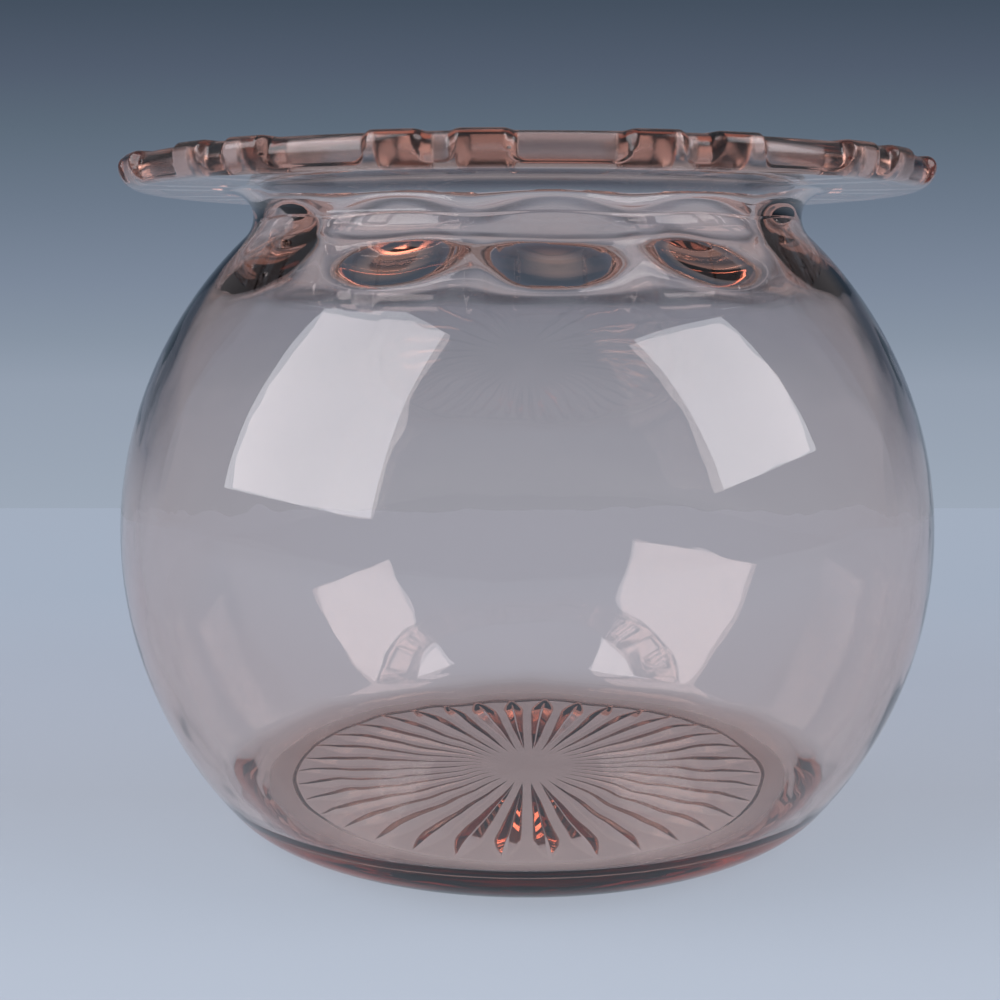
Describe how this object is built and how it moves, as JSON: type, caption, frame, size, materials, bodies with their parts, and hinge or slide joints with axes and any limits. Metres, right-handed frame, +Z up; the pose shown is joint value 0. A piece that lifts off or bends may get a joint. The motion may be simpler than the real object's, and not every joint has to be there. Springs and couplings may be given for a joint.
{
  "type": "rose bowl vase",
  "caption": "Round pink pressed-glass rose bowl with a drawn-in neck, a flat flared brim with a thick panelled edge, and a rayed star in the recess under the foot.",
  "frame": {"origin": "middle of the flat foot, on the surface that the bowl stands on", "axes": "+Z up along the axis of the bowl, -Y towards the viewer, +X to the viewer's right"},
  "size_m": [0.17, 0.17, 0.1364],
  "materials": {
    "pink_glass": "clear pale pink glass, fire polished, with a smooth ground foot ring"
  },
  "bodies": {
    "root": {"glass_bowl": "pink_glass"}
  },
  "joints": []
}
